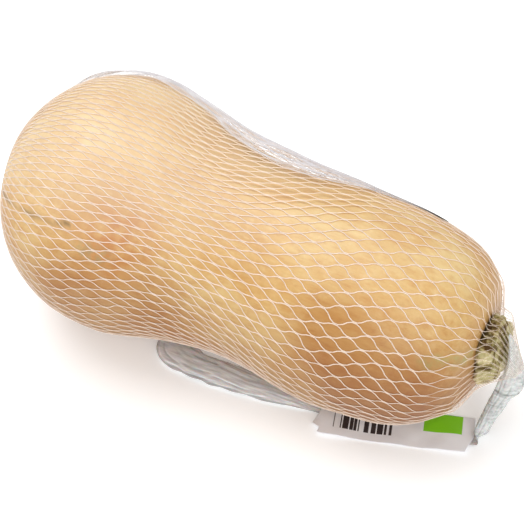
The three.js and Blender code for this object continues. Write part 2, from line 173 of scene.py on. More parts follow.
# The floor and the lights, in metres and watts
FLOOR_HALF_SIZE = 4
FLOOR_DROP = 0.0002
WORLD_STRENGTH = 0.62
KEY_PLACE, KEY_SIZE, KEY_POWER = (-0.55, 0.1, 1.35), 1.3, 14
FILL_PLACE, FILL_SIZE, FILL_POWER = (0.8, -1.0, 0.75), 1.1, 8


def smooth(value):
    """0 up to 0, 1 from 1 on, and a smooth rise between."""
    clipped = np.clip(value, 0, 1)
    return clipped * clipped * (3 - 2 * clipped)


def hump(value, rise, end, fall):
    """Rises from 0 over the width rise, and falls back over the width fall to be 0 again at the end."""
    return smooth(value / rise) * smooth((end - value) / fall)


def mix(a, b, share):
    return a + (b - a) * share


def unit(vectors):
    return vectors / (np.linalg.norm(vectors, axis=-1, keepdims=True) + 1e-9)


def travelled(points):
    """The way along a line of points, up to each of them."""
    return np.concatenate([[0], np.cumsum(np.linalg.norm(np.diff(points, axis=0), axis=-1))])


def turns_round(sides):
    return 2 * np.pi * np.arange(sides)[None, :] / sides


def waves(seed, *inputs, count=6):
    """A smooth wavy value between about -1 and 1, from a few sines of the inputs."""
    slowest, fastest = 1.0, 4.0
    random = np.random.default_rng(seed)
    total = 0.0
    for _ in range(count):
        speeds = random.uniform(slowest, fastest, len(inputs)) * random.choice([-1, 1], len(inputs))
        phase = random.uniform(0, 2 * math.pi)
        total = total + np.sin(sum(speed * value for speed, value in zip(speeds, inputs)) + phase)
    return total / math.sqrt(count)


# The fruit's form


def rounded_end(share, power):
    return np.clip(1 - np.clip(share, 0, 1) ** power, 0, 1) ** (1 / power)


def fruit_radius(s):
    taper = mix(BULB_RADIUS, NECK_RADIUS, smooth((s - TAPER_START) / (TAPER_END - TAPER_START)))
    body = taper - WAIST_DEPTH * np.exp(-(((s - WAIST_AT) / WAIST_REACH) ** 2))
    blossom_end = rounded_end((BULB_END_LENGTH - s) / BULB_END_LENGTH, BULB_END_POWER)
    stem_end = rounded_end((s - (FRUIT_LENGTH - NECK_END_LENGTH)) / NECK_END_LENGTH, NECK_END_POWER)
    return body * blossom_end * stem_end


def blossom_end_drop(radius):
    return BULB_END_LENGTH * (1 - rounded_end(radius / BULB_RADIUS, BULB_END_POWER))


def neck_end_drop(radius):
    return NECK_END_LENGTH * (1 - rounded_end(radius / NECK_RADIUS, NECK_END_POWER))


def end_hollow(above, behind):
    """How far the neck's end is sunk round the stem's foot, which leans back at the top."""
    from_stem = np.hypot(above - STEM_RAISE, behind)
    depth = END_HOLLOW_DEPTH + STEM_TILT * (above - STEM_RAISE)
    return depth * np.exp(-((from_stem / END_HOLLOW_RADIUS) ** 2))


def resting_pose():
    """The slope of the fruit's line, and its height at the blossom end, with bulb and neck both lying."""
    stations = np.linspace(0, FRUIT_LENGTH, 400)
    radii = fruit_radius(stations)
    in_bulb = stations < BULB_SHARE * FRUIT_LENGTH
    slope = FIRST_SLOPE
    for _ in range(40):
        depths = stations * math.sin(slope) + radii * math.cos(slope)
        bulb = np.argmax(np.where(in_bulb, depths, 0))
        neck = np.argmax(np.where(in_bulb, 0, depths))
        slope += (depths[bulb] - depths[neck]) / (stations[neck] - stations[bulb])
    return slope, float(depths.max())


SLOPE, LINE_HEIGHT = resting_pose()


def in_lying_frame(s, above, behind):
    along = s / FRUIT_LENGTH - 0.5
    bow = SIDE_BOW * (4 * along**2 - BOW_MIDDLE)
    x = s * math.cos(SLOPE) + above * math.sin(SLOPE)
    z = LINE_HEIGHT + FRUIT_LIFT - s * math.sin(SLOPE) + above * math.cos(SLOPE)
    return np.stack(np.broadcast_arrays(x, behind + bow, z), axis=-1)


def lobes(angle):
    return LOBE_DEPTH * np.cos(LOBE_COUNT * angle + LOBE_TURN)


def skin_radius(s, angle):
    """Radius of the skin. Angle 0 is the top and a quarter turn is the back, +Y."""
    radius = fruit_radius(s)
    across, up = np.cos(angle), np.sin(angle)
    dents = DENT_DEPTH * waves(11, s / DENT_LENGTH, DENTS_ROUND * across, DENTS_ROUND * up)
    return radius + (lobes(angle) + dents) * smooth(radius / BULB_RADIUS)


def frame_shift():
    """Where the lying frame's origin is in the object's frame: the CAD fruit's box against the same form."""
    s, angle = np.meshgrid(np.linspace(0, FRUIT_LENGTH, 700), np.linspace(0, 2 * math.pi, 181))
    radius = fruit_radius(s) + lobes(angle) * smooth(fruit_radius(s) / BULB_RADIUS)
    points = in_lying_frame(s, radius * np.cos(angle), radius * np.sin(angle)).reshape(-1, 3)
    low, high = (np.array(corner) * 1000 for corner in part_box("fruit"))
    middle = (low + high) / 2 - (points.min(axis=0) + points.max(axis=0)) / 2
    return np.array([middle[0], middle[1], 0.0])


SHIFT = frame_shift()


def to_scene(points):
    return (np.asarray(points) + SHIFT) / 1000


# Mesh making


def new_object(name, vertices, faces, material):
    mesh = bpy.data.meshes.new(name)
    mesh.from_pydata(np.asarray(vertices).tolist(), [], [list(face) for face in faces])
    mesh.validate()
    mesh.polygons.foreach_set("use_smooth", [True] * len(mesh.polygons))
    mesh.materials.append(material)
    made = bpy.data.objects.new(name, mesh)
    bpy.context.scene.collection.objects.link(made)
    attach(made, "root")
    return made


def tube_grid(points, closed_ends=True):
    """Vertices and faces of a grid of rings, points[ring, side], joined round and along, faces outwards."""
    rings, sides = points.shape[:2]
    ring, side = np.meshgrid(np.arange(rings - 1), np.arange(sides), indexing="ij")
    here, after = ring * sides, (side + 1) % sides
    quads = np.stack([here + side, here + after, here + sides + after, here + sides + side], axis=-1)
    faces = quads.reshape(-1, 4).tolist()
    if closed_ends:
        faces.append(list(range(sides))[::-1])
        faces.append([(rings - 1) * sides + i for i in range(sides)])
    return points.reshape(-1, 3), faces


STRAND_SIDES = 4


def strands(centre, out, half_width, half_height):
    """Vertices and faces of strands with a diamond section, round the middles centre[strand, point]. The
    vectors out point away from the skin."""
    tangent = unit(np.gradient(centre, axis=1))
    across = unit(np.cross(out, tangent))
    lifted = np.cross(tangent, across)
    section = [across * half_width, lifted * half_height, -across * half_width, -lifted * half_height]
    points = np.stack([centre + offset for offset in section], axis=2)
    vertices, faces = [], []
    for strand in points:
        some_vertices, some_faces = tube_grid(strand)
        base = len(vertices) * len(some_vertices)
        faces += [[base + index for index in face] for face in some_faces]
        vertices.append(some_vertices)
    return np.vstack(vertices), faces


def add_marks(made, name, values):
    """Keeps one number for each vertex, for the material to read."""
    kept = made.data.attributes.new(name, "FLOAT", "POINT")
    kept.data.foreach_set("value", np.asarray(values, dtype=float))


def add_strand_marks(made, name, values):
    """Keeps one number for each point of each strand."""
    add_marks(made, name, np.repeat(values, STRAND_SIDES, axis=1).reshape(-1))


# Materials


def colour(red, green, blue):
    """A linear colour from the 0 to 255 values that the eye reads off a screen."""
    shares = [channel / 255 for channel in (red, green, blue)]
    return tuple(c / 12.92 if c <= 0.04045 else ((c + 0.055) / 1.055) ** 2.4 for c in shares) + (1.0,)


class Finish:
    """A material under construction, with short calls for the nodes that it needs."""

    def __init__(self, name, **sockets):
        self.material = bpy.data.materials.new(name)
        self.material.use_nodes = True
        self.tree = self.material.node_tree
        self.tree.nodes.clear()
        self.surface = self.node("ShaderNodeBsdfPrincipled")
        output = self.node("ShaderNodeOutputMaterial")
        self.tree.links.new(self.surface.outputs["BSDF"], output.inputs["Surface"])
        for socket, value in sockets.items():
            self.surface.inputs[socket.replace("_", " ")].default_value = value
        self.place = self.node("ShaderNodeTexCoord").outputs["Object"]

    def node(self, kind, **settings):
        made = self.tree.nodes.new(kind)
        for setting, value in settings.items():
            setattr(made, setting, value)
        return made

    def feed(self, socket, value):
        if isinstance(value, bpy.types.NodeSocket):
            self.tree.links.new(value, socket)
        else:
            socket.default_value = value

    def set(self, name, value):
        self.feed(self.surface.inputs[name], value)

    def drawn_out(self, pace):
        """The place on the object with x slowed to a pace, so that features run along the squash."""
        made = self.node("ShaderNodeMapping")
        self.feed(made.inputs["Vector"], self.place)
        made.inputs["Scale"].default_value = (pace, 1.0, 1.0)
        return made.outputs["Vector"]

    def noise(self, size, detail=4.0, roughness=0.55, distortion=0.0, vector=None):
        """Noise whose features are about size millimetres across."""
        made = self.node("ShaderNodeTexNoise")
        self.feed(made.inputs["Vector"], vector or self.place)
        made.inputs["Scale"].default_value = 1000 / size
        made.inputs["Detail"].default_value = detail
        made.inputs["Roughness"].default_value = roughness
        made.inputs["Distortion"].default_value = distortion
        return made.outputs["Fac"]

    def cells(self, size):
        """The distance from the middle of cells that are about size millimetres across."""
        made = self.node("ShaderNodeTexVoronoi")
        self.feed(made.inputs["Vector"], self.place)
        made.inputs["Scale"].default_value = 1000 / size
        return made.outputs["Distance"]

    def mark(self, name):
        return self.node("ShaderNodeAttribute", attribute_name=name).outputs["Fac"]

    def ramp(self, value, stops):
        made = self.node("ShaderNodeValToRGB")
        self.feed(made.inputs["Fac"], value)
        elements = made.color_ramp.elements
        while len(elements) < len(stops):
            elements.new(0.5)
        for element, (position, tint) in zip(elements, stops):
            element.position = position
            element.color = tint
        return made.outputs["Color"]

    def band(self, value, start, end, to_low=0.0, to_high=1.0):
        """The value carried from the range start to end over to the range to_low to to_high."""
        made = self.node("ShaderNodeMapRange", clamp=True)
        self.feed(made.inputs["Value"], value)
        for name, number in (("From Min", start), ("From Max", end), ("To Min", to_low), ("To Max", to_high)):
            self.feed(made.inputs[name], number)
        return made.outputs["Result"]

    def spread(self, noise, low, high):
        """Noise carried over to run from low to high."""
        return self.band(noise, 0.3, 0.7, low, high)

    def two_tones(self, size, detail, deep, pale):
        """A colour that drifts between two tones, in patches about size millimetres across."""
        return self.ramp(self.noise(size, detail=detail), [(0.3, deep), (0.7, pale)])

    def calc(self, operation, a, b=0.0):
        made = self.node("ShaderNodeMath", operation=operation)
        self.feed(made.inputs[0], a)
        self.feed(made.inputs[1], b)
        return made.outputs["Value"]

    def times(self, a, b):
        return self.calc("MULTIPLY", a, b)

    def broken_mark(self, name, size, detail, start, end):
        """A mark that noise breaks up."""
        return self.times(self.mark(name), self.band(self.noise(size, detail=detail), start, end))

    def blend(self, share, tone, tint, kind="MIX"):
        """The tone, with the tint over it by the share. The colour sockets are the mix node's 7th and 8th."""
        made = self.node("ShaderNodeMix", data_type="RGBA", blend_type=kind)
        self.feed(made.inputs["Factor"], share)
        self.feed(made.inputs[6], tone)
        self.feed(made.inputs[7], tint)
        return made.outputs[2]

    def bump(self, height, depth, strength=1.0, normal=None):
        """A bump whose height value of 1 stands depth millimetres proud."""
        made = self.node("ShaderNodeBump")
        self.feed(made.inputs["Height"], height)
        made.inputs["Distance"].default_value = depth / 1000
        made.inputs["Strength"].default_value = strength
        if normal:
            self.feed(made.inputs["Normal"], normal)
        return made.outputs["Normal"]


UNDERSIDE_PAINTED_SHADE = (0.50, 0.38, 0.30, 1.0)
RUSSET_TINT = (0.74, 0.57, 0.41, 1.0)
SUBSURFACE_REDDENING = (1.0, 0.45, 0.18)
SKIN_TONES = [(0.30, colour(192, 142, 76)), (0.47, colour(207, 166, 102)), (0.66, colour(217, 188, 130))]
BLOTCH = colour(200, 146, 78)
DARK_FLECK = colour(184, 126, 60)
PALE_FLECK = colour(230, 204, 148)
PALE_PATCH = colour(228, 204, 156)
PORE = colour(196, 134, 72)
SPECK = colour(136, 84, 40)
SCUFF = colour(186, 116, 48)
GREEN_TINGE = colour(186, 176, 112)
SCAR = colour(158, 148, 106)
TOP_PAINTED_LIGHT = colour(242, 224, 198)
CREASE_SHADE = colour(110, 92, 62)
FOOT_SHADE = colour(84, 54, 28)


def skin_material():
    finish = Finish("squash_skin", Specular_IOR_Level=0.42, Subsurface_Weight=0.06, Subsurface_Scale=0.004)
    finish.surface.inputs["Subsurface Radius"].default_value = SUBSURFACE_REDDENING
    lengthwise = finish.drawn_out(0.42)
    tone = finish.ramp(finish.noise(34, detail=5, roughness=0.55, vector=lengthwise), SKIN_TONES)
    blotches = finish.band(finish.noise(11, detail=6, roughness=0.62, vector=lengthwise), 0.50, 0.72)
    tone = finish.blend(finish.times(blotches, 0.5), tone, BLOTCH)
    flecks = finish.noise(2.6, detail=5, roughness=0.65, vector=finish.drawn_out(0.3))
    tone = finish.blend(finish.band(flecks, 0.52, 0.72, 0.0, 0.5), tone, DARK_FLECK)
    tone = finish.blend(finish.band(flecks, 0.46, 0.28, 0.0, 0.45), tone, PALE_FLECK)
    pale = finish.band(finish.noise(6, detail=5, roughness=0.6), 0.52, 0.74)
    tone = finish.blend(finish.times(pale, 0.35), tone, PALE_PATCH)
    pores = finish.band(finish.cells(2.1), 0.0, 0.16, 1.0, 0.0)
    tone = finish.blend(finish.times(pores, 0.2), tone, PORE)
    specks = finish.band(finish.cells(13), 0.035, 0.075, 1.0, 0.0)
    chosen = finish.band(finish.noise(21, detail=1), 0.52, 0.56)
    tone = finish.blend(finish.times(specks, chosen), tone, SPECK)
    tone = finish.blend(finish.broken_mark("scuff", 7, 6, 0.28, 0.56), tone, SCUFF)
    tone = finish.blend(finish.broken_mark("green", 4, 4, 0.30, 0.62), tone, GREEN_TINGE)
    tone = finish.blend(finish.times(finish.broken_mark("scar", 2.4, 3, 0.38, 0.6), 0.7), tone, SCAR)
    # painted light: the top of the skin is made paler where the light falls on it, less so on the neck
    tone = finish.blend(finish.times(finish.mark("painted_top_light"), 0.34), tone, TOP_PAINTED_LIGHT)
    tone = finish.blend(finish.mark("russet"), tone, RUSSET_TINT, kind="MULTIPLY")
    # painted shade: the skin is darkened towards its underside, where less light falls
    tone = finish.blend(finish.mark("under"), tone, UNDERSIDE_PAINTED_SHADE, kind="MULTIPLY")
    # painted shade: a dark line along a crease in the bulb's skin
    tone = finish.blend(finish.times(finish.mark("painted_crease_shade"), 0.8), tone, CREASE_SHADE)
    tone = finish.blend(finish.mark("foot"), tone, FOOT_SHADE)
    finish.set("Base Color", tone)
    finish.set("Roughness", finish.spread(finish.noise(9, detail=4), 0.36, 0.5))
    grain = finish.bump(finish.noise(1.1, detail=3), 0.06, strength=0.5)
    dimples = finish.bump(pores, -0.08, strength=0.5, normal=grain)
    finish.set("Normal", finish.bump(finish.noise(8, detail=3), 0.35, strength=0.6, normal=dimples))
    return finish.material


CORK_TONES = [
    (0.38, colour(78, 56, 28)),
    (0.46, colour(134, 116, 72)),
    (0.54, colour(188, 176, 130)),
    (0.68, colour(216, 206, 168)),
]
MOSS = colour(128, 126, 62)
GROOVE_SHADE = colour(84, 64, 32)


def stem_material():
    finish = Finish("stem_cork", Specular_IOR_Level=0.2)
    lengthwise = finish.drawn_out(0.55)
    streaks = finish.noise(7.5, detail=6, roughness=0.6, distortion=0.9, vector=lengthwise)
    tone = finish.ramp(streaks, CORK_TONES)
    moss = finish.band(finish.noise(5.5, detail=4), 0.46, 0.66)
    tone = finish.blend(finish.times(moss, 0.55), tone, MOSS)
    # painted shade: the grooves between the stem's ridges are darkened
    tone = finish.blend(finish.mark("painted_groove_shade"), tone, GROOVE_SHADE)
    finish.set("Base Color", tone)
    finish.set("Roughness", finish.spread(streaks, 0.92, 0.7))
    finish.set("Normal", finish.bump(streaks, 0.7, strength=0.9))
    return finish.material


def net_material():
    finish = Finish("net_filament", Roughness=0.4, Specular_IOR_Level=0.5)
    # the warm tint is partly the net's own cream colour and partly painted warm light bounced from the skin
    finish.set("Base Color", finish.two_tones(5, 2, colour(247, 226, 207), colour(252, 238, 225)))
    solid = finish.spread(finish.noise(3, detail=3), 0.48, 0.68)
    finish.set("Alpha", finish.times(solid, finish.band(finish.mark("veil"), 0, 1, 1.0, 0.42)))
    # painted light: a faint warm glow that stands in for light passing through the translucent filaments
    finish.set("Emission Color", (1.0, 0.9, 0.8, 1.0))
    finish.set("Emission Strength", 0.04)
    finish.set("Normal", finish.bump(finish.noise(0.7, detail=2), 0.05, strength=0.4))
    return finish.material


def fold_material():
    finish = Finish("slack_net", Roughness=0.5, Specular_IOR_Level=0.3)
    finish.set("Base Color", finish.two_tones(6, 2, colour(234, 234, 241), colour(246, 246, 251)))
    solid = finish.spread(finish.noise(9, detail=3), 0.34, 0.54)
    finish.set("Alpha", finish.times(solid, finish.mark("fullness")))
    return finish.material


# The net is white: the greys of its bunches, and the rope's darker set, are painted shade between the folds
ROPE_SHADED_TONES = (colour(152, 156, 156), colour(196, 199, 198), colour(222, 224, 222))
RIBBON_TONES = (colour(204, 207, 211), colour(229, 232, 235), colour(249, 251, 252))


def bunch_material(name, deep, middle, pale):
    finish = Finish(name, Specular_IOR_Level=0.45, Subsurface_Weight=0.3, Subsurface_Scale=0.002)
    lengthwise = finish.drawn_out(0.16)
    folds = finish.noise(1.5, detail=6, roughness=0.6, distortion=0.4, vector=lengthwise)
    # painted shade: the deep tone follows the low places of the same noise that raises the bump
    tone = finish.ramp(folds, [(0.28, deep), (0.46, middle), (0.66, pale)])
    # painted shade: pleat valleys, the pressed bunch's edges and the shadow under the stem tail's crease are
    # darkened
    tone = finish.blend(finish.mark("painted_crease_shade"), tone, colour(120, 122, 118))
    finish.set("Base Color", tone)
    finish.set("Roughness", finish.spread(folds, 0.5, 0.34))
    finish.set("Normal", finish.bump(folds, 0.35, strength=0.7))
    return finish.material


def label_material():
    """White film with a row of plain bars that say nothing, and a plain green block."""
    finish = Finish("label_film", Specular_IOR_Level=0.5, Coat_Weight=0.15, Coat_Roughness=0.2)
    along, across = finish.mark("along"), finish.mark("across")

    def inside(value, start, end):
        rising = finish.band(value, start - PRINT_EDGE, start + PRINT_EDGE)
        falling = finish.band(value, end - PRINT_EDGE, end + PRINT_EDGE, 1.0, 0.0)
        return finish.times(rising, falling)

    def bars(width, share):
        step = finish.calc("FLOOR", finish.calc("DIVIDE", along, width))
        drawn = finish.node("ShaderNodeTexWhiteNoise", noise_dimensions="1D")
        finish.feed(drawn.inputs["W"], step)
        return finish.calc("LESS_THAN", drawn.outputs["Value"], share)

    paper = finish.two_tones(16, 3, colour(243, 242, 247), colour(252, 252, 255))
    printed = finish.times(inside(along, *BARS_ALONG), inside(across, *BARS_ACROSS))
    either_bar = finish.calc("MAXIMUM", bars(THIN_BAR, THIN_BAR_SHARE), bars(THICK_BAR, THICK_BAR_SHARE))
    tone = finish.blend(finish.times(printed, either_bar), paper, colour(58, 50, 52))
    block = finish.times(inside(along, *BLOCK_ALONG), inside(across, *BLOCK_ACROSS))
    tone = finish.blend(block, tone, colour(132, 212, 30))
    finish.set("Base Color", tone)
    finish.set("Roughness", finish.spread(finish.noise(6, detail=3), 0.3, 0.42))
    finish.set("Normal", finish.bump(finish.noise(9, detail=2), 0.25, strength=0.5))
    return finish.material


def floor_material():
    finish = Finish("pale_floor", Specular_IOR_Level=0.2)
    finish.set("Base Color", finish.two_tones(300, 2, colour(250, 250, 250), colour(253, 253, 253)))
    finish.set("Emission Color", (1.0, 1.0, 1.0, 1.0))
    finish.set("Emission Strength", 0.2)
    finish.set("Roughness", finish.spread(finish.noise(120, detail=2), 0.7, 0.8))
    return finish.material


# The squash itself

# Marks on the skin: places in the lying frame, and how far from them each mark reaches
SCUFF_AT, SCUFF_REACH = (80, -45, 88), 30
GREEN_LINE, GREEN_REACH = [(230, -17, 60), (225.9, -24, 63), (216, -33, 66)], 6
SCAR_LINE, SCAR_REACH = [(68, -53, 81), (78, -53, 80)], 7
# A crease on the upper front of the bulb, whose shade is painted as a dark line
CREASE_LINE = [(14, -33, 76), (22.3, -40.4, 80.3), (39.4, -48, 86), (52, -49.5, 87), (60, -49.5, 90)]
CREASE_REACH = 1.7
RUSSET_PATCHES = [
    ((197, -44, 62), 40),
    ((206, -42, 46), 36),
    ((200, -36, 32), 34),
    ((176, -42, 72), 30),
    ((98, -50, 60), 34),
    ((60, -55, 62), 30),
]

# Painted light and shade on the skin: a paler top, fainter on the neck, and a darker underside: heights and
# widths
TOP_LIGHT_FROM, TOP_LIGHT_OVER = 74, 34
TOP_LIGHT_ON_NECK = 0.4
TOP_LIGHT_NECK_FROM, TOP_LIGHT_NECK_OVER = 110, 60
UNDERSIDE_SHADE_FROM, UNDERSIDE_SHADE_OVER = 92, 66
FOOT_SHADE_RADIUS, FOOT_SHADE_EDGE = 14.6, 2


def near(points, centre, reach):
    """1 at a point of the lying frame and 0 beyond reach millimetres from it."""
    return smooth(1 - np.linalg.norm(points - np.array(centre), axis=-1) / reach)


def near_line(points, stops, reach):
    """1 on the line through the stops and 0 beyond reach millimetres from it."""
    nearest = np.full(points.shape[:-1], np.inf)
    for start, end in zip(stops[:-1], stops[1:]):
        start, end = np.array(start, dtype=float), np.array(end, dtype=float)
        way = end - start
        share = np.clip(((points - start) @ way) / (way @ way), 0, 1)
        nearest = np.minimum(nearest, np.linalg.norm(points - (start + share[..., None] * way), axis=-1))
    return smooth(1 - nearest / reach)


def make_fruit():
    ring = np.arange(1, FRUIT_RINGS)[:, None]
    s = FRUIT_LENGTH * (0.5 - 0.5 * np.cos(np.pi * ring / FRUIT_RINGS))
    angle = -turns_round(FRUIT_SIDES)
    radius = skin_radius(s, angle)
    above, behind = radius * np.cos(angle), radius * np.sin(angle)
    sunk = np.where(s > FRUIT_LENGTH / 2, end_hollow(above, behind), 0)
    vertices, faces = tube_grid(in_lying_frame(s - sunk, above, behind), closed_ends=False)
    poles = in_lying_frame(np.array([0.0, FRUIT_LENGTH - end_hollow(0.0, 0.0)]), 0.0, 0.0)
    vertices = np.vstack([vertices, poles])
    last = (FRUIT_RINGS - 2) * FRUIT_SIDES
    for side in range(FRUIT_SIDES):
        after = (side + 1) % FRUIT_SIDES
        faces.append([len(vertices) - 2, after, side])
        faces.append([len(vertices) - 1, last + side, last + after])
    made = new_object("squash_fruit", to_scene(vertices), faces, skin_material())
    add_skin_marks(made, vertices)
    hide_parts("fruit")


def add_skin_marks(made, vertices):
    x, z = vertices[:, 0], vertices[:, 2]
    add_marks(made, "scuff", near(vertices, SCUFF_AT, SCUFF_REACH))
    add_marks(made, "green", near_line(vertices, GREEN_LINE, GREEN_REACH))
    add_marks(made, "scar", near_line(vertices, SCAR_LINE, SCAR_REACH))
    add_marks(made, "painted_crease_shade", near_line(vertices, CREASE_LINE, CREASE_REACH))
    russet = sum(near(vertices, place, reach) for place, reach in RUSSET_PATCHES)
    add_marks(made, "russet", np.clip(russet, 0, 1))
    # painted light: paler towards the top
    painted_top_light = smooth((z - TOP_LIGHT_FROM) / TOP_LIGHT_OVER)
    add_marks(made, "painted_top_light", painted_top_light * mix(1, TOP_LIGHT_ON_NECK, smooth((x - TOP_LIGHT_NECK_FROM) / TOP_LIGHT_NECK_OVER)))
    # painted shade: darker towards the bottom of the fruit
    add_marks(made, "under", smooth((UNDERSIDE_SHADE_FROM - z) / UNDERSIDE_SHADE_OVER))
    foot = in_lying_frame(FRUIT_LENGTH - END_HOLLOW_DEPTH, STEM_RAISE, 0.0)
    from_foot = np.linalg.norm(vertices - foot, axis=-1)
    add_marks(made, "foot", smooth((FOOT_SHADE_RADIUS - from_foot) / FOOT_SHADE_EDGE))


# The stem's outline: radius in millimetres, and height as a share of the stem's
STEM_OUTLINE = [
    (0.0, 0.0),
    (STEM_FOOT_RADIUS * 0.6, 0.0),
    (STEM_FOOT_RADIUS, 0.0),
    (STEM_RIM_RADIUS, 0.2),
    (STEM_RIM_RADIUS * 0.98, 0.36),
    (STEM_TIP_RADIUS * 1.03, 0.6),
    (STEM_TIP_RADIUS, 0.84),
    (STEM_TIP_RADIUS * 0.95, 0.97),
    (STEM_TIP_RADIUS * 0.84, 1.0),
    (STEM_TIP_RADIUS * 0.5, 0.94),
    (0.0, 0.92),
]


def make_stem():
    outline = np.array(STEM_OUTLINE)
    corners = np.arange(len(outline))
    steps = np.linspace(0, len(outline) - 1, STEM_RINGS)
    radius = np.interp(steps, corners, outline[:, 0])[:, None]
    height = np.interp(steps, corners, outline[:, 1])[:, None]
    angle = -turns_round(STEM_SIDES)
    phase = LOBE_COUNT * angle + STEM_RIB_TURN
    ridges = np.abs(np.cos(phase / 2 + 0.7 * height)) ** 0.6
    ribs = STEM_RIB_DEPTH * np.cos(phase) + STEM_RIDGE_DEPTH * (ridges - STEM_RIDGE_LEVEL)
    rough = STEM_ROUGH_DEPTH * waves(5, 9 * np.cos(angle), 9 * np.sin(angle), 5 * height, count=9)
    out = radius * (1 + ribs) + rough * smooth(radius / 6)
    above = STEM_RAISE + STEM_LEAN * height + out * np.cos(angle)
    behind = out * np.sin(angle)
    hollow = end_hollow(above, behind) - STEM_FOOT_GAP
    foot = FRUIT_LENGTH - neck_end_drop(np.hypot(above, behind)) - hollow
    crumbs = waves(8, above / STEM_CRUMBLE_SIZE, behind / STEM_CRUMBLE_SIZE, count=8)
    crumble = STEM_CRUMBLE_DEPTH * crumbs * smooth((height - 0.8) / 0.1)
    cut = FRUIT_LENGTH + STEM_HEIGHT - STEM_TILT * (above - STEM_RAISE - STEM_LEAN)
    points = in_lying_frame(mix(foot, cut, height) + crumble, above, behind)
    vertices, faces = tube_grid(points[1:-1])
    made = new_object("squash_stem", to_scene(vertices), faces, stem_material())
    # painted shade in the grooves, strongest low between the ridges
    painted_groove_shade = smooth((0.5 - ridges) / 0.45) * smooth((1.05 - height) / 0.3)
    add_marks(made, "painted_groove_shade", painted_groove_shade[1:-1].reshape(-1))
    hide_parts("stem")


# The net


def net_stations():
    """Distances along the fruit for even steps over its skin, from the net's first ring to the shoulder."""
    s = FRUIT_LENGTH * (0.5 - 0.5 * np.cos(np.pi * np.linspace(0, 1, 900)))
    radius = fruit_radius(s)
    reach = travelled(np.stack([s, radius], axis=-1))
    first = np.argmax(radius >= NET_START_RADIUS)
    last = np.argmax((s > FRUIT_LENGTH / 2) & (radius <= SHOULDER_RADIUS))
    return s, reach, reach[first], reach[last]


STATION, REACH, NET_FROM, NET_TO = net_stations()
SKIN_ROWS = round((NET_TO - NET_FROM) / NET_HALF_CELL)
BRIDGE_FROM = BULB_END_LENGTH * 0.93
BRIDGE_TO = FRUIT_LENGTH - NECK_END_LENGTH * 0.72

# Rings over the stem: how far the middle is past the fruit's end and above its line, the half height and
# width, and how far the ring leans back at the top
TENT_RINGS = [
    (-4.6, 1.5, 29.5, 29.5, 0.05),
    (-0.5, 2.5, 18.6, 18.6, 0.1),
    (4.4, 5.4, 15.6, 15.4, 0.12),
    (12.6, -6.0, 5.0, 3.6, -0.6),
    (14.0, -7.2, 3.6, 2.4, -0.6),
]
TENT_ROWS_PER_RING = 1.25
TENT_LIFT = 0.7
NET_ROWS = SKIN_ROWS + round(len(TENT_RINGS) * TENT_ROWS_PER_RING)


def bridge_height(s, angle):
    """How far the net stands off the skin where it spans the waist, on the upper back."""
    share = (s - BRIDGE_FROM) / (BRIDGE_TO - BRIDGE_FROM)
    ends = fruit_radius(np.array([BRIDGE_FROM, BRIDGE_TO]))
    taut = mix(ends[0], ends[1], share)
    turned = angle - BRIDGE_MIDDLE_ANGLE
    from_back = np.abs(np.arctan2(np.sin(turned), np.cos(turned)))
    reached = smooth((BRIDGE_HALF_ANGLE - from_back) / BRIDGE_FADE_ANGLE)
    lift = WAIST_BRIDGE * reached * np.clip(taut - fruit_radius(s), 0, None)
    return np.where((share > 0) & (share < 1), lift, 0)


def net_angle(turn, s, row):
    """Angle of a strand. Cells are drawn open on the side that each opening angle faces, on the bulb, the
    neck and the stem in turn, and half closed on the other side."""
    towards_neck = smooth((s - NECK_OPENING_FROM) / NECK_OPENING_OVER)
    towards_stem = smooth((row - SKIN_ROWS + STEM_OPENING_ROWS_BEFORE) / STEM_OPENING_OVER_ROWS)
    on_bulb = BULB_OPENING * np.sin(turn - BULB_OPEN_ANGLE)
    on_neck = NECK_OPENING * np.sin(turn - NECK_OPEN_ANGLE)
    on_stem = STEM_OPENING * np.sin(turn - STEM_OPEN_ANGLE)
    return turn + mix(mix(on_bulb, on_neck, towards_neck), on_stem, towards_stem)


def on_skin(s, above, behind):
    """A point of the net. Near the blossom end the net is drawn down to where it is gathered."""
    radius = np.hypot(above, behind)
    from_rim = np.clip(1 - radius / BULB_RADIUS, 0, 1)
    drawn = np.where(s < BULB_END_LENGTH, from_rim**GATHER_POWER, 0)
    lowered = above - GATHER_DROP * drawn
    slid = blossom_end_drop(np.hypot(lowered, behind)) - blossom_end_drop(radius)
    return in_lying_frame(s + np.where(drawn > 0, slid, 0), lowered, behind)


def tent_point(ring, angle, lift):
    past, raised, half_height, half_width, tilt = np.moveaxis(np.array(TENT_RINGS)[ring], -1, 0)
    above = (half_height + lift * TENT_LIFT) * np.cos(angle)
    behind = (half_width + lift * TENT_LIFT) * np.sin(angle)
    return in_lying_frame(FRUIT_LENGTH + past - tilt * above + lift * TENT_LIFT, raised + above, behind)


def net_surface(row, turn, lift):
    """A point of the net, lift millimetres off the skin. Row 0 is at the blossom end."""
    reach = NET_FROM + np.clip(row / SKIN_ROWS, 0, 1) * (NET_TO - NET_FROM)
    s = np.interp(reach, REACH, STATION)
    angle = net_angle(turn, s, row)
    skin = skin_radius(s, angle) + bridge_height(s, angle)
    slope = fruit_radius(s + 0.5) - fruit_radius(s - 0.5)
    tilt = np.hypot(1, slope)
    radius = skin + lift / tilt
    lying = on_skin(s - lift * slope / tilt, radius * np.cos(angle), radius * np.sin(angle))
    past_rows = np.clip((row - SKIN_ROWS) / TENT_ROWS_PER_RING, 0, len(TENT_RINGS) - 0.001)
    ring = np.floor(past_rows).astype(int)
    before = np.where((ring == 0)[..., None], lying, tent_point(np.clip(ring - 1, 0, None), angle, lift))
    drawn = mix(before, tent_point(ring, angle, lift), (past_rows - ring)[..., None])
    return np.where((row > SKIN_ROWS)[..., None], drawn, lying)


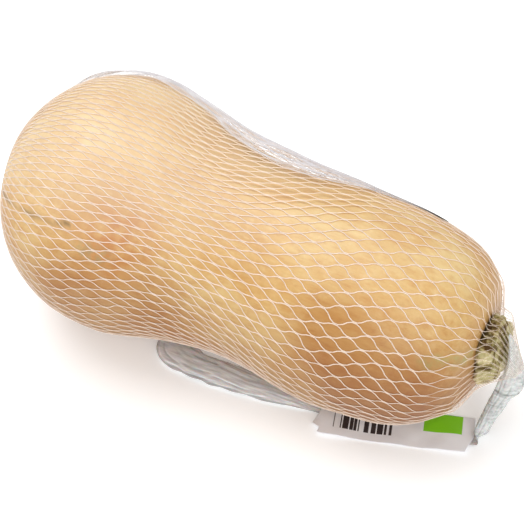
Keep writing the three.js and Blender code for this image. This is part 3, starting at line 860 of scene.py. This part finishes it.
def filament_route(slack, start, side):
    """Points of one filament as rows, cells round and leans to the side. It zigzags between two columns of
    joints and lies beside its neighbour for a short way at each."""
    joint = JOINT_HALF_LENGTH / NET_HALF_CELL
    stops = []
    for row in range(NET_ROWS + 1):
        odd = row % 2
        cell = start + (0.5 * side if odd else 0.0)
        lean = (-side if odd else side) * FILAMENT_HALF_WIDTH * FILAMENT_LEAN
        slide, sway = slack[row, math.floor(cell) % NET_CELLS_ROUND]
        stops.append((row - joint + slide, cell + sway, lean))
        stops.append((row + joint + slide, cell + sway, lean))
    route = []
    for index, (here, after) in enumerate(zip(stops[:-1], stops[1:])):
        steps = FILAMENT_STEPS if index % 2 else 1
        for step in range(steps):
            share = step / steps
            eased = smooth(share)
            cell, lean = (mix(here[k], after[k], eased) for k in (1, 2))
            route.append((mix(here[0], after[0], share), cell, lean))
    route.append(stops[-1])
    return route


def make_net():
    random = np.random.default_rng(7)
    slack = random.normal(0, 1, (NET_ROWS + 1, NET_CELLS_ROUND, 2)) * JOINT_SLACK
    routes = [filament_route(slack, start, side) for start in range(NET_CELLS_ROUND) for side in (1, -1)]
    row, cell, lean = np.moveaxis(np.array(routes), -1, 0)
    row = np.clip(row, 0, NET_ROWS)
    turn = 2 * np.pi * cell / NET_CELLS_ROUND
    lift = FILAMENT_HALF_HEIGHT + FILAMENT_GAP
    some_turn, some_rows = 0.004, 0.05
    centre = net_surface(row, turn, lift)
    round_way = unit(net_surface(row, turn + some_turn, lift) - net_surface(row, turn - some_turn, lift))
    along_way = net_surface(row + some_rows, turn, lift) - net_surface(row - some_rows, turn, lift)
    out = unit(np.cross(along_way, round_way))
    centre = centre + round_way * lean[..., None]
    centre[..., 2] = np.maximum(centre[..., 2], FILAMENT_HALF_HEIGHT)
    finer = 1 - OVER_STEM_THINNING * smooth((row - SKIN_ROWS + 2) / 4)[..., None]
    vertices, faces = strands(centre, out, FILAMENT_HALF_WIDTH * finer, FILAMENT_HALF_HEIGHT * finer)
    made = new_object("net_strands", to_scene(vertices), faces, net_material())
    add_strand_marks(made, "veil", smooth((row - SKIN_ROWS - 1.5) / 2))
    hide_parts("net_sleeve")


def make_folds():
    """Slack net at the upper back: fine lengthwise folds that stand off the bulb and span the waist."""
    along = np.linspace(0, 1, FOLD_POINTS)[None, :]
    upwards = np.linspace(0, 1, FOLD_COUNT)[:, None]
    s = mix(FOLD_FROM, FOLD_TO, along)
    slack = FOLD_SLACK * hump(along, 0.12, 0.5, 0.3)
    stand_off = FOLD_GAP + slack + bridge_height(s, FOLD_SIDE_ANGLE)
    low_angle = FOLD_SIDE_ANGLE - np.arccos(fruit_radius(s) / (fruit_radius(s) + stand_off))
    angle = mix(low_angle, FOLD_HIGH_ANGLE, upwards) + FOLD_SWAY * waves(51, s / 17, 30 * upwards)
    lift = FOLD_GAP + slack * (1 + 0.25 * waves(52, s / 25, 9 * upwards))
    radius = skin_radius(s, angle) + bridge_height(s, angle) + lift
    centre = in_lying_frame(s, radius * np.cos(angle), radius * np.sin(angle))
    out = np.stack([np.zeros_like(angle), np.sin(angle), np.cos(angle)], axis=-1)
    vertices, faces = strands(centre, out, FOLD_HALF_WIDTH, FOLD_HALF_HEIGHT)
    made = new_object("net_folds", to_scene(vertices), faces, fold_material())
    add_strand_marks(made, "fullness", hump(along, 0.14, 1, 0.3) * smooth((1 - upwards) / 0.6))
    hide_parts("net_sleeve")


# The gathered tails

# Each stop: the bunch's middle, the direction of its width, half its width and half its thickness
STEM_TAIL_STOPS = [
    ((239.6, 4.6, 57.0), (0.2, 1, 0), (0.8, 0.5)),
    ((241.6, 4.4, 51.0), (0.3, 0.9, 0), (2.4, 0.9)),
    ((243.8, 3.6, 44.0), (0.5, 0.8, 0), (3.8, 1.6)),
    ((245.0, 2.4, 37.0), (0.8, 0.5, 0), (5.2, 2.6)),
    ((244.6, 1.7, 31.5), (0.95, 0.3, 0), (6.0, 3.0)),
    ((243.2, 1.6, 26.6), (0.9, 0.4, 0), (5.6, 2.6)),
    ((241.4, 1.3, 21.4), (0.85, 0.5, 0), (4.7, 2.8)),
    ((239.8, 0.0, 15.6), (0.8, 0.6, 0), (4.4, 2.8)),
    ((238.3, -2.8, 9.8), (0.7, 0.7, 0), (3.9, 2.7)),
    ((237.2, -5.2, 4.8), (0.6, 0.8, 0), (4.3, 2.2)),
    ((236.6, -7.0, 1.3), (0.4, 0.92, 0), (5.0, 0.9)),
    ((234.6, -8.1, 0.45), (0.3, 0.95, 0), (5.4, 0.4)),
    ((226.5, -11.4, 0.4), (0.3, 0.95, 0), (5.4, 0.35)),
]
BLOSSOM_TAIL_STOPS = [
    ((-1.4, 2.0, 44.8), (0, 1, 0), (5.4, 5.4)),
    ((-4.4, 2.6, 42.8), (0, 1, 0), (4.8, 4.2)),
    ((-4.8, 4.4, 37.0), (0, 1, 0), (4.6, 3.2)),
    ((-1.8, 7.6, 29.0), (0.1, 1, 0), (4.8, 3.0)),
    ((5.2, 13.2, 19.6), (0.3, 0.95, 0), (5.2, 2.9)),
    ((16.0, 21.5, 9.5), (-0.4, 0.9, 0), (6.0, 2.8)),
    ((32.0, 28.0, 2.6), (-0.3, 0.95, 0), (6.6, 2.6)),
    ((50.0, 31.5, 1.8), (0, 1, 0), (7.0, 2.1)),
    ((70.0, 27.0, 1.35), (0.4, 0.9, 0), (7.2, 1.6)),
    ((85.0, 15.0, 1.0), (0.7, 0.7, 0), (7.4, 1.2)),
    ((93.0, 2.0, 0.95), (0.95, 0.3, 0), (7.6, 1.1)),
    ((92.6, -11.0, 1.05), (1, 0, 0), (7.8, 1.3)),
    ((92.6, -22.8, 1.4), (0.8, 0.6, 0), (9.8, 1.7)),
    ((103.0, -27.2, 1.8), (0.25, 0.97, 0), (8.0, 2.0)),
    ((117.0, -27.6, 1.9), (0, 1, 0), (7.8, 2.2)),
    ((132.0, -26.9, 1.8), (-0.05, 1, 0), (7.2, 2.1)),
    ((147.0, -26.2, 1.6), (-0.12, 1, 0), (5.6, 1.9)),
    ((157.5, -25.0, 1.2), (-0.15, 1, 0), (4.4, 1.2)),
    ((163.5, -23.6, 0.4), (-0.1, 1, 0), (4.2, 0.35)),
    ((169.0, -22.2, 0.4), (-0.1, 1, 0), (4.4, 0.35)),
    ((175.0, -21.6, 0.4), (-0.1, 1, 0), (4.0, 0.35)),
]

# Where the bunch at the stem is creased, and how far from that line the painted shadow that the fold casts
# below it reaches
STEM_TAIL_CREASE_SHADOW = [(238.5, -1.5, 27.0), (243.5, -0.5, 25.5), (249, 3.5, 25.5)]
STEM_TAIL_SHADOW_REACH = 1.5

# Each layer of pleats: its share of the depth, how many go round the bunch, their turn, and how far they
# wander over what length
PLEATS = [(0.34, 7, 0.0, 1.5, 16), (0.36, 12, 1.3, 2.4, 22), (0.30, 19, 2.1, 3.0, 15)]
PLEAT_LEVEL = 0.93
PLEAT_DEPTH = 0.07
RUFFLE_DEPTH = 0.035
THINNEST_BUNCH = 0.25
BUNCH_REST = 0.05


def spline(values, share):
    """A smooth curve through the values, at shares from 0 to 1 of the way."""
    values = np.asarray(values, dtype=float)
    padded = np.vstack([2 * values[0] - values[1], values, 2 * values[-1] - values[-2]])
    place = share * (len(values) - 1)
    low = np.minimum(np.floor(place).astype(int), len(values) - 2)
    t = (place - low)[:, None]
    a, b, c, d = (padded[low + k] for k in range(4))
    return 0.5 * (2 * b + (c - a) * t + (2 * a - 5 * b + 4 * c - d) * t**2 + (3 * b - a - 3 * c + d) * t**3)


def make_bunch(name, stops, rings, seed, node, material, crease_shadow_line=None):
    """A gathered bunch of net: a pleated tube swept through the stops, with its underside pressed flat."""
    middles, widths, half_sizes = zip(*stops)
    share = np.linspace(0, 1, rings)
    middle = spline(middles, share)
    forward = unit(np.gradient(middle, axis=0))
    width = spline(widths, share)
    width = unit(width - forward * np.sum(width * forward, axis=-1, keepdims=True))
    up = np.cross(forward, width)
    halves = np.clip(spline(half_sizes, share), THINNEST_BUNCH, None)
    along = travelled(middle)[:, None]
    angle = turns_round(BUNCH_SIDES)
    pleats = 0.0
    for layer, (depth, count, turn, wander, length) in enumerate(PLEATS):
        pleats = pleats + depth * np.cos(count * angle + turn + wander * waves(seed + layer, along / length))
    ruffle = waves(seed + len(PLEATS), along / 5, 3 * np.cos(angle), 3 * np.sin(angle), count=8)
    reach = PLEAT_LEVEL + PLEAT_DEPTH * pleats + RUFFLE_DEPTH * ruffle
    across = (halves[:, :1] * np.cos(angle) * reach)[..., None] * width[:, None, :]
    lifted = (halves[:, 1:] * np.sin(angle) * reach)[..., None] * up[:, None, :]
    points = middle[:, None, :] + across + lifted
    points[..., 2] = np.maximum(points[..., 2], BUNCH_REST)
    vertices, faces = tube_grid(points)
    made = new_object(name, to_scene(vertices), faces, material)
    # painted shade in the pleats' valleys and along the edges of a flattened bunch
    valley_shade = 0.35 * smooth((-pleats - 0.35) / 0.5)
    edge_shade = 0.6 * smooth((np.abs(np.cos(angle)) - 0.9) / 0.08) * smooth(halves[:, :1] / halves[:, 1:] - 2)
    fold_shade = np.maximum(valley_shade, edge_shade).reshape(-1)
    if crease_shadow_line:
        fold_shade = np.maximum(fold_shade, near_line(vertices, crease_shadow_line, STEM_TAIL_SHADOW_REACH))
    add_marks(made, "painted_crease_shade", fold_shade)
    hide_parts(node)


def make_tails():
    rope = bunch_material("gathered_net", *ROPE_SHADED_TONES)
    ribbon = bunch_material("pressed_net", *RIBBON_TONES)
    make_bunch(
        "net_tail_at_stem", STEM_TAIL_STOPS, STEM_TAIL_RINGS, 31, "net_tail_stem_end", rope, STEM_TAIL_CREASE_SHADOW
    )
    make_bunch(
        "net_tail_at_blossom", BLOSSOM_TAIL_STOPS, BLOSSOM_TAIL_RINGS, 41, "net_tail_blossom_end", ribbon
    )


# The label

# Corners of its cut ends: how far each is past the end, and how far across the label it lies
LABEL_LEFT_EDGE = [(0.0, 0.0), (3.05, 0.6), (4.9, -2.8), (12.9, 0.1), (19.6, 0.4)]
LABEL_RIGHT_EDGE = [(0.0, 0.0), (9.2, 3.5), (19.6, 3.5)]


def make_label():
    way = LABEL_END - LABEL_START
    length = np.linalg.norm(way)
    way = way / length
    side_way = np.array([-way[1], way[0]])
    share, across = np.meshgrid(
        np.linspace(0, 1, LABEL_STEPS_ALONG), np.linspace(0, LABEL_WIDTH, LABEL_STEPS_ACROSS), indexing="ij"
    )
    left = np.interp(across, *zip(*LABEL_LEFT_EDGE))
    right = length + np.interp(across, *zip(*LABEL_RIGHT_EDGE))
    along = mix(left, right, share)
    from_end = np.minimum(along, length - along)
    over_tail = smooth((LABEL_CLIMB_REACH - from_end) / LABEL_CLIMB_REACH)
    curl = LABEL_CURL * smooth((3 - along) / 6) * smooth((9 - across) / 8)
    ripple = 0.16 * waves(21, along / 9, across / 8) + 0.12 * np.sin(along / 4.2 + across / 14)
    lift = LABEL_REST + np.clip(LABEL_CLIMB * over_tail + curl + ripple + LABEL_SLACK, 0, None)
    flat = LABEL_START + along[..., None] * way + across[..., None] * side_way
    top = np.concatenate([flat, (lift + LABEL_THICKNESS)[..., None]], axis=-1)
    bottom = np.concatenate([flat, lift[..., None]], axis=-1)
    vertices = np.vstack([top.reshape(-1, 3), bottom.reshape(-1, 3)])
    made = new_object("label_film", to_scene(vertices), sheet_faces(*share.shape), label_material())
    add_marks(made, "along", np.tile(along.reshape(-1), 2))
    add_marks(made, "across", np.tile(across.reshape(-1), 2))
    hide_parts("label_band")


def sheet_faces(rows, columns):
    """Faces of a thin sheet: a grid of points on top, the same grid below, and the border between them."""
    count = rows * columns
    faces = []
    for i in range(rows - 1):
        for j in range(columns - 1):
            corner = i * columns + j
            above = [corner, corner + columns, corner + columns + 1, corner + 1]
            faces.append(above)
            faces.append([count + above[k] for k in (0, 3, 2, 1)])
    border = [i * columns for i in range(rows)]
    border += [(rows - 1) * columns + j for j in range(1, columns)]
    border += [i * columns + columns - 1 for i in range(rows - 2, -1, -1)]
    border += list(range(columns - 2, 0, -1))
    for here, after in zip(border, border[1:] + border[:1]):
        faces.append([here, count + here, count + after, after])
    return faces


# Floor, lights and camera


def make_floor():
    half = FLOOR_HALF_SIZE
    corners = [(-half, -half, 0), (half, -half, 0), (half, half, 0), (-half, half, 0)]
    mesh = bpy.data.meshes.new("floor")
    mesh.from_pydata(corners, [], [(0, 1, 2, 3)])
    mesh.materials.append(floor_material())
    floor = bpy.data.objects.new("floor", mesh)
    bpy.context.scene.collection.objects.link(floor)
    floor.location.z = -FLOOR_DROP


def add_softbox(name, place, size, power):
    light = bpy.data.lights.new(name, "AREA")
    light.size = size
    light.energy = power
    made = bpy.data.objects.new(name, light)
    made.location = place
    made.rotation_euler = (-Vector(place)).to_track_quat("-Z", "Y").to_euler()
    bpy.context.scene.collection.objects.link(made)


def add_lights():
    world = bpy.data.worlds.new("studio")
    world.use_nodes = True
    background = world.node_tree.nodes["Background"]
    background.inputs["Color"].default_value = (1.0, 1.0, 1.0, 1.0)
    background.inputs["Strength"].default_value = WORLD_STRENGTH
    bpy.context.scene.world = world
    add_softbox("key", KEY_PLACE, KEY_SIZE, KEY_POWER)
    add_softbox("fill", FILL_PLACE, FILL_SIZE, FILL_POWER)


def add_camera():
    azimuth, elevation = math.radians(CAMERA_AZIMUTH), math.radians(CAMERA_ELEVATION)
    sideways, forwards = math.sin(azimuth), -math.cos(azimuth)
    back = Vector((sideways * math.cos(elevation), forwards * math.cos(elevation), math.sin(elevation)))
    camera = bpy.data.cameras.new("camera")
    camera.sensor_fit = "HORIZONTAL"
    camera.sensor_width = SENSOR_WIDTH
    camera.lens = SENSOR_WIDTH / 2 / math.tan(math.radians(CAMERA_FIELD / 2))
    camera.clip_start = NEAREST_VISIBLE
    made = bpy.data.objects.new("camera", camera)
    made.location = Vector(to_scene(CAMERA_AIM)) + back * CAMERA_DISTANCE / 1000
    made.rotation_euler = (-back).to_track_quat("-Z", "Y").to_euler()
    bpy.context.scene.collection.objects.link(made)
    bpy.context.scene.camera = made


bpy.context.scene.view_settings.view_transform = "Standard"
add_camera()
add_lights()
make_floor()
make_fruit()
make_stem()
make_net()
make_folds()
make_tails()
make_label()
